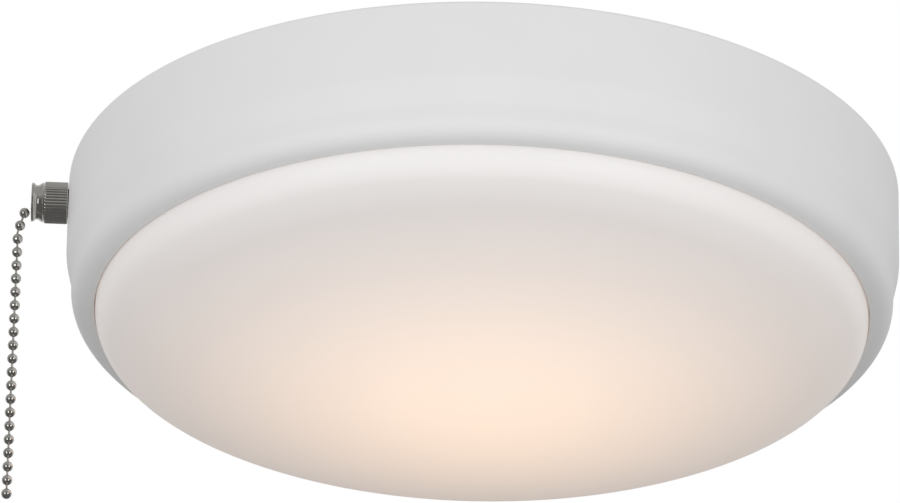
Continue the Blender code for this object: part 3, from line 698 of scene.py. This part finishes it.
def make_switch_front():
    make_knurled_nut()
    rear, front = -MOUTH_HIGH.x, -MOUTH_LOW.x
    shoulder = (MOUTH_HIGH.z - MOUTH_LOW.z) / 2
    mouth = [
        (4.3, rear, 0.1),
        (shoulder, rear - 0.15, 0.05),
        (shoulder, rear + 0.1, 0.1),
        (NECK_RADIUS + 0.05, rear + 1.35, 1.0),
        (NECK_RADIUS, front - 1.5, 0.6),
        (LIP_RADIUS - 0.1, front - 0.75, 0.3),
        (LIP_RADIUS, front - 0.25, 0.15),
        (LIP_RADIUS - 0.2, front, 0.12),
        (LIP_RADIUS - 0.5, front - 0.1, 0.2),
        (4.3, front - 1.0, 0.8),
        (3.7, front - 1.9, 0.3),
        (4.3, front - 1.9, 0.1),
    ]
    turned_piece("bell_mouth", mouth, 160, SWITCH_AXIS, smooth_angle=40)
    thread_end = -NUT_LOW.x
    bushing = [
        (BORE_RADIUS, BUSHING_REAR, 0.15),
        (SPIGOT_RADIUS + 0.2, BUSHING_REAR, 0.2),
        (SPIGOT_RADIUS + 0.2, FLANGE_REAR, 0),
        (FLANGE_RADIUS, FLANGE_REAR, 0.15),
        (FLANGE_RADIUS, FLANGE_FRONT, 0.15),
        (THREAD_RADIUS, FLANGE_FRONT, 0),
        (THREAD_RADIUS, thread_end, 0),
        (SPIGOT_RADIUS, thread_end, 0),
        (SPIGOT_RADIUS, SPIGOT_FRONT, 0.1),
        (FLARE_RADIUS, SPIGOT_FRONT, 0.1),
        (BORE_RADIUS, SPIGOT_FRONT - 2, 0.3),
    ]
    thread = threaded(THREAD_RADIUS, THREAD_DEPTH, THREAD_PITCH, FLANGE_FRONT, thread_end)
    shape = bmesh.new()
    turn_outline(shape, densify(rounded(bushing), THREAD_PITCH / 6), 48, thread)
    stand_for("threaded_bushing", "bushing_visual", mesh_of(shape, "bushing", 60), SWITCH_AXIS)


def bead_outline(count, tail_gap, head=0.0):
    """Hollow beads whose ends draw in to a rod, from the first bead's centre at 0."""
    tip = BEAD_RADIUS + 0.2
    outline = [(0, -BEAD_RADIUS - head), (ROD_RADIUS, -BEAD_RADIUS - head)]
    if not head:
        outline = [(0, -BEAD_RADIUS + 0.02), (ROD_RADIUS, -BEAD_RADIUS + 0.05)]
    for bead in range(count):
        centre = bead * BEAD_PITCH
        if bead or head:
            outline.append((ROD_RADIUS, centre - tip))
        outline += arc((0, centre), BEAD_RADIUS, PINCH - 90, 90 - PINCH, 18)
        if bead < count - 1 or tail_gap:
            outline.append((ROD_RADIUS, centre + tip))
    top = (count - 1) * BEAD_PITCH
    if tail_gap:
        reach = top + BEAD_PITCH - BEAD_RADIUS - tail_gap
        return outline + [(ROD_RADIUS, reach), (0, reach)]
    return outline + [(ROD_RADIUS, top + BEAD_RADIUS - 0.05), (0, top + BEAD_RADIUS - 0.02)]


def make_beads(node, count, spot, direction, tail_gap=ROD_GAP, head=0.0, turn=0.0):
    """One rigid run of bead chain; each bead has the seam that its rolled sheet leaves."""
    seam_width = 0.09  # radians

    def seamed(reach, angle, height):
        offset = abs((angle + math.pi) % (2 * math.pi) - math.pi)
        depth = 0.07 * max(0.0, 1 - offset / seam_width)
        return reach - depth if reach > ROD_RADIUS + 0.3 else reach

    shape = bmesh.new()
    turn_outline(shape, bead_outline(count, tail_gap, head), 40, seamed)
    mesh = mesh_of(shape, node, 35)
    mesh.transform(Matrix.Rotation(math.radians(turn), 4, "Z"))
    return stand_for(node, f"{node}_visual", mesh, along(spot, direction))


def on_chain(spot):
    return Vector((-spot[0], 0, SWITCH_Z + spot[1]))


def make_chain():
    make_beads("chain_inner", 3, on_chain((INNER_START, 0)), (-1, 0, 0), head=2.0, turn=40)
    b, a, lead, lead_2 = (on_chain(s) for s in (BEAD_B, BEAD_A, LEAD_BEAD, LEAD_BEAD_2))
    make_beads("chain_bead_b", 1, b, a - b, FEED_GAP, turn=70)
    make_beads("chain_bead_a", 1, a, lead - a, FEED_GAP, turn=250)
    make_beads("chain_lead", 2, lead, lead_2 - lead, turn=140)
    for node, turn, tail_gap in (
        ("chain_upper", 200, ROD_GAP),
        ("chain_middle", 310, ROD_GAP),
        ("chain_lower", 100, 0.0),
    ):
        low, high = extent(node)
        count = round((high.z - low.z) / BEAD_PITCH)
        top = ((low.x + high.x) / 2, 0, high.z - BEAD_RADIUS)
        make_beads(node, count, top, (0, 0, -1), tail_gap, turn=turn)


def make_spring():
    """Closed end turns and even turns between them. Returns it and the end that stays put."""
    low, high = extent("return_spring")
    wire = SPRING_WIRE
    radius = (high.z - low.z) / 2 - wire
    start, end = low.x + wire, high.x - wire
    dead, active, per_turn = 1.0, SPRING_TURNS, 28
    total = 2 * dead + active
    dead_rise = 2 * wire + 0.05
    active_rise = (end - start - 2 * dead_rise) / active
    route = []
    for step in range(round(total * per_turn) + 1):
        turns = step / per_turn
        closed = min(turns, dead) + max(0.0, turns - dead - active)
        x = start + dead_rise * closed + active_rise * min(max(turns - dead, 0.0), active)
        angle = 2 * math.pi * turns
        route.append((x, radius * math.cos(angle), SWITCH_Z + radius * math.sin(angle)))
    piece = stand_for("return_spring", "return_spring_visual", tube_mesh("spring", route, wire))
    return piece, MM * low.x


# ---------------------------------------------------------------- mounting hardware


def screw(node, head_radius, head_height, shank, pitch, length, seat, steps=40):
    """A round-headed machine screw that points up, with a slot across its head."""
    low, high = extent(node)
    x, y = (low.x + high.x) / 2, (low.y + high.y) / 2
    tip = seat + length
    corners = [
        (0, seat - head_height, 0),
        (0.5 * head_radius, seat - head_height, 1.2),
        (head_radius, seat - 0.45 * head_height, 0.8),
        (head_radius, seat, 0.2),
        (shank, seat, 0),
        (shank, tip - 0.8, 0.3),
        (0.65 * shank, tip, 0.2),
        (0, tip, 0),
    ]
    thread = threaded(shank, 0.3 * pitch + 0.12, pitch, seat + 0.4, tip - 0.5)
    shape = bmesh.new()
    turn_outline(shape, densify(rounded(corners), pitch / 6), steps, thread)
    piece = stand_for(node, f"{node}_visual", mesh_of(shape, node, 50), at(x, y))
    depth = 1.0
    place = at(x, y, seat - head_height + depth / 2 - 0.5)
    turn = Matrix.Rotation(math.radians(15 + 37 * (x > 0)), 4, "Z")
    slots = [slab_cutter((2.4 * head_radius, 1.0, depth + 1.0), place @ turn)]
    carve(piece, slots, smooth_angle=50)
    return piece


def make_strap():
    """Stamped steel strap with rounded corners, screw holes and a slot for each box screw."""
    low, high = extent("mounting_strap")
    x, y = high.x - STRAP_FILLET, high.y - STRAP_FILLET
    outline = []
    for corner, start in (((x, y), 0), ((-x, y), 90), ((-x, -y), 180), ((x, -y), 270)):
        outline += arc(corner, STRAP_FILLET, start, start + 90, 8)
    mesh = prism("strap", outline, low.z, high.z)
    strap = stand_for("mounting_strap", "mounting_strap_visual", mesh)
    depth = (low.z - 2, high.z + 2)
    cutters = [rod_cutter(STRAP_CENTRE_HOLE, *depth, IDENTITY)]
    cutters.append(rod_cutter(2.0, *depth, at(GROUND_SCREW_X, 0)))
    slot = arc((5, 0), 2.5, -90, 90, 12) + arc((-5, 0), 2.5, 90, 270, 12)
    for side in (-1, 1):
        cutters.append(rod_cutter(2.4, *depth, at(side * PAN_SCREW_X, 0)))
        mesh = prism("slot", slot, *depth)
        mesh.transform(at(side * BOX_SCREW_X, 0))
        cutters.append(add_object("slot", mesh))
    carve(strap, cutters)
    soften(strap, 0.25)


def make_mounting():
    make_strap()
    seat = extent("mounting_strap")[0].z - GAP
    inside, outside = -RECESS_DEPTH - SHEET - GAP, -RECESS_DEPTH + GAP
    for word in ("left", "right"):
        top = extent(f"box_screw_{word}")[1].z
        screw(f"box_screw_{word}", 4.0, 2.3, 2.0, 0.8, top - seat, seat)
        top = extent(f"pan_screw_{word}")[1].z
        screw(f"pan_screw_{word}", 4.2, 2.6, 2.1, 0.8, top - inside, inside)
    top = extent("ground_screw")[1].z
    screw("ground_screw", 3.6, 2.2, 1.7, 0.7, top - seat, seat)
    low, high = extent("wire_grommet")
    grommet = [
        (GROMMET_BORE, low.z, 0.9),
        (high.x, low.z, 1.2),
        (high.x, inside, 0.2),
        (GROMMET_GROOVE, inside, 0.1),
        (GROMMET_GROOVE, outside, 0.1),
        (high.x, outside, 0.2),
        (high.x, high.z, 1.2),
        (GROMMET_BORE, high.z, 0.9),
    ]
    turned_piece("wire_grommet", grommet, 96)


# ---------------------------------------------------------------- carried-over CAD nodes

EDGE_WIDTHS = {
    "led_board": 0.15,
    "switch_body": 0.5,
    "switch_cover": 0.3,
    "terminal_block": 0.6,
    "driver_chip": 0.2,
    "bridge_rectifier": 0.2,
    "contact_bridge": 0.12,
    "fixed_contact_a": 0.12,
    "fixed_contact_b": 0.12,
    "inner_hex_nut": 0.2,
    "ratchet_rotor": 0.15,
    "lens_clip_1": 0.2,
    "lens_clip_2": 0.2,
    "lens_clip_3": 0.2,
}


def soften(obj, width):
    """Rounds an object's sharp edges; a Weld first, because the frame's faces come apart."""
    weld = obj.modifiers.new("weld", "WELD")
    weld.merge_threshold = 1e-6
    edges = obj.modifiers.new("edges", "BEVEL")
    edges.width = MM * width
    edges.segments = 2
    edges.limit_method = "ANGLE"
    edges.angle_limit = math.radians(40)
    edges.harden_normals = True


def dress_cad_nodes():
    """Every CAD node that still shows gets its slot's look and softened edges."""
    for name, obj in frame["nodes"].items():
        obj.data.materials.clear()
        obj.data.materials.append(LOOK[NODE_SLOT[name]])
        if obj.hide_render:
            continue
        width = EDGE_WIDTHS.get(name)
        if name.startswith("led_") and name[4:].isdigit():
            width = 0.35
        if width:
            soften(obj, width)


# ---------------------------------------------------------------- stage, light and camera


def view_axes():
    """Right, up and forward of the camera, in the frame."""
    rise, roll = math.radians(CAMERA_RISE), math.radians(CAMERA_ROLL)
    right = Vector((1, 0, 0))
    up = Vector((0, -math.sin(rise), math.cos(rise)))
    forward = Vector((0, math.cos(rise), math.sin(rise)))
    rolled_right = math.cos(roll) * right + math.sin(roll) * up
    rolled_up = math.cos(roll) * up - math.sin(roll) * right
    turn = Matrix.Rotation(math.radians(CAMERA_TURN), 3, "Z")
    return turn @ rolled_right, turn @ rolled_up, turn @ forward


def make_camera():
    right, up, forward = view_axes()
    turn = Matrix.Rotation(math.radians(CAMERA_TURN), 3, "Z")
    place = MM * (turn @ Vector(CAMERA_AIM) - CAMERA_DISTANCE * forward)
    data = bpy.data.cameras.new("camera")
    data.lens = CAMERA_LENS
    data.sensor_width = SENSOR_WIDTH
    data.clip_start = 0.1
    camera = add_object("camera", data)
    axes = Matrix((right, up, -forward)).transposed().to_4x4()
    camera.matrix_world = Matrix.Translation(place) @ axes
    bpy.context.scene.camera = camera


def make_floor():
    half = MM * FLOOR_HALF
    mesh = bpy.data.meshes.new("floor")
    corners = [(-half, -half), (half, -half), (half, half), (-half, half)]
    mesh.from_pydata([(x, y, MM * FLOOR_Z) for x, y in corners], [], [(0, 1, 2, 3)])
    floor = add_object("floor", mesh)
    look = surface("floor", (0.80, 0.80, 0.80), 0.8, mottle=(400, 0.01), relief=(50, 0.01))
    floor.data.materials.append(look)
    floor.visible_glossy = False
    floor.visible_diffuse = False
    floor.visible_shadow = False


SOFTBOXES = (
    # degrees from the camera's side, degrees above the horizon, width and height, power
    (-36.0, -14.0, (0.9, 1.2), 6.0),
    (36.0, -14.0, (0.9, 1.2), 6.0),
)
LIGHT_DISTANCE = 2.4
AMBIENT_BELOW = (0.95, 0.05)  # towards the camera, and behind the object
AMBIENT_ABOVE = (0.62, 0.98)
STUDIO_DARK = 0.11
STUDIO_TOP = 0.35
STUDIO_BACK = 0.55


def make_lights():
    for index, (side, height, (wide, high), power) in enumerate(SOFTBOXES, 1):
        data = bpy.data.lights.new(f"softbox_{index}", "AREA")
        data.shape = "RECTANGLE"
        data.size, data.size_y = wide, high
        data.energy = power
        light = add_object(data.name, data)
        azimuth, rise = math.radians(side + CAMERA_TURN), math.radians(height)
        out = Vector((math.sin(azimuth), -math.cos(azimuth), 0)) * math.cos(rise)
        out.z = math.sin(rise)
        light.location = LIGHT_DISTANCE * out
        light.rotation_mode = "QUATERNION"
        light.rotation_quaternion = (-out).to_track_quat("-Z", "Y")


def make_world():
    """A white backdrop, an ambient light that varies slowly, and a darker studio to mirror."""
    world = bpy.data.worlds.new("studio")
    bpy.context.scene.world = world
    world.use_nodes = True
    tree = world.node_tree
    tree.nodes.clear()
    place = node_of(tree, "ShaderNodeTexCoord")
    parts = node_of(tree, "ShaderNodeSeparateXYZ")
    tree.links.new(place.outputs["Generated"], parts.inputs["Vector"])

    def ramp(axis, start, end, low, high):
        ranged = node_of(tree, "ShaderNodeMapRange", interpolation_type="SMOOTHSTEP")
        for name, value in zip(("From Min", "From Max", "To Min", "To Max"), (start, end, low, high)):
            ranged.inputs[name].default_value = value
        tree.links.new(parts.outputs[axis], ranged.inputs["Value"])
        return ranged.outputs["Result"]

    above = ramp("Z", -0.1, 0.5, STUDIO_DARK, STUDIO_TOP)
    behind = node_of(tree, "ShaderNodeMath", operation="MULTIPLY")
    tree.links.new(ramp("Y", 0.05, 0.45, 0.0, STUDIO_BACK), behind.inputs[0])
    tree.links.new(ramp("Z", -0.45, -0.05, 0.0, 1.0), behind.inputs[1])
    brighter = node_of(tree, "ShaderNodeMath", operation="MAXIMUM")
    tree.links.new(above, brighter.inputs[0])
    tree.links.new(behind.outputs["Value"], brighter.inputs[1])
    rays = node_of(tree, "ShaderNodeLightPath")
    mirrored = node_of(tree, "ShaderNodeBackground")
    tree.links.new(brighter.outputs["Value"], mirrored.inputs["Strength"])
    by_height = node_of(tree, "ShaderNodeMix", data_type="FLOAT")
    tree.links.new(ramp("Z", -0.3, 0.3, 0.0, 1.0), by_height.inputs[0])
    tree.links.new(ramp("Y", -0.5, 0.5, *AMBIENT_BELOW), by_height.inputs[2])
    tree.links.new(ramp("Y", -0.5, 0.5, *AMBIENT_ABOVE), by_height.inputs[3])
    ambient = node_of(tree, "ShaderNodeBackground")
    tree.links.new(by_height.outputs[0], ambient.inputs["Strength"])
    backdrop = node_of(tree, "ShaderNodeBackground", Strength=1.0)
    for light in (mirrored, ambient, backdrop):
        light.inputs["Color"].default_value = (1.0, 1.0, 1.0, 1.0)
    lit = node_of(tree, "ShaderNodeMixShader")
    tree.links.new(rays.outputs["Is Glossy Ray"], lit.inputs["Fac"])
    tree.links.new(ambient.outputs["Background"], lit.inputs[1])
    tree.links.new(mirrored.outputs["Background"], lit.inputs[2])
    seen = node_of(tree, "ShaderNodeMixShader")
    tree.links.new(rays.outputs["Is Camera Ray"], seen.inputs["Fac"])
    tree.links.new(lit.outputs["Shader"], seen.inputs[1])
    tree.links.new(backdrop.outputs["Background"], seen.inputs[2])
    out = node_of(tree, "ShaderNodeOutputWorld")
    tree.links.new(seen.outputs["Shader"], out.inputs["Surface"])


def set_colour():
    view = bpy.context.scene.view_settings
    view.view_transform = "Standard"
    view.look = "None"


def build():
    make_camera()
    make_floor()
    make_lights()
    make_world()
    set_colour()
    make_pan()
    make_diffuser()
    make_switch_front()
    make_chain()
    spring, anchor = make_spring()
    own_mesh(spring)
    make_mounting()
    dress_cad_nodes()


build()
